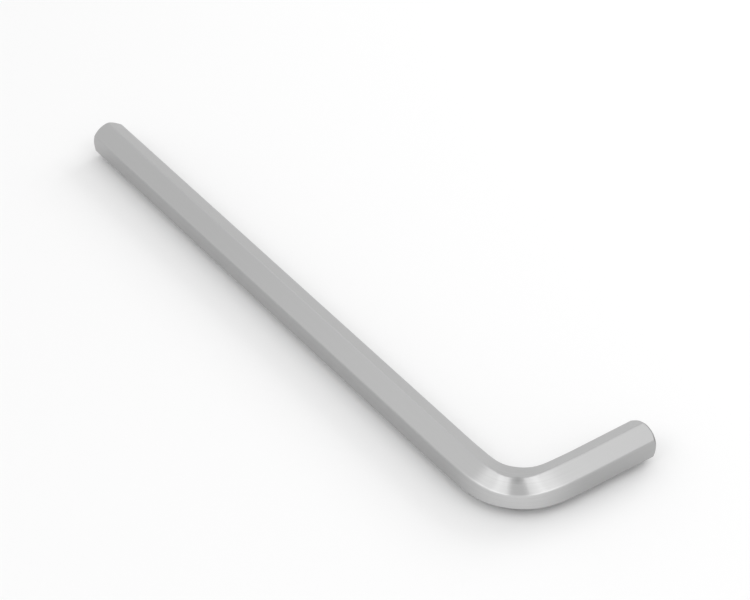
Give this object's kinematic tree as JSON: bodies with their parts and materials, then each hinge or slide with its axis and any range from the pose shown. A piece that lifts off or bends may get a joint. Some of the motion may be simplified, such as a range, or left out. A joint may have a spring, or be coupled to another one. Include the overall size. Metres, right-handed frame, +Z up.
{
  "type": "hex key",
  "caption": "L-shaped hexagonal key with a long and a short arm, for turning screws with a hexagonal socket.",
  "frame": {"origin": "centre of the key's bounding box in plan, on the surface that the key lies on", "axes": "+Z up from the surface that the key lies on; +Y along the long arm towards its tip; +X along the short arm towards its tip"},
  "size_m": [0.07, 0.294, 0.0159],
  "materials": {
    "plated_steel": "satin nickel-chrome plate over drawn steel, with a fine grain along the bar"
  },
  "bodies": {
    "root": {"hex_key": "plated_steel"}
  },
  "joints": []
}
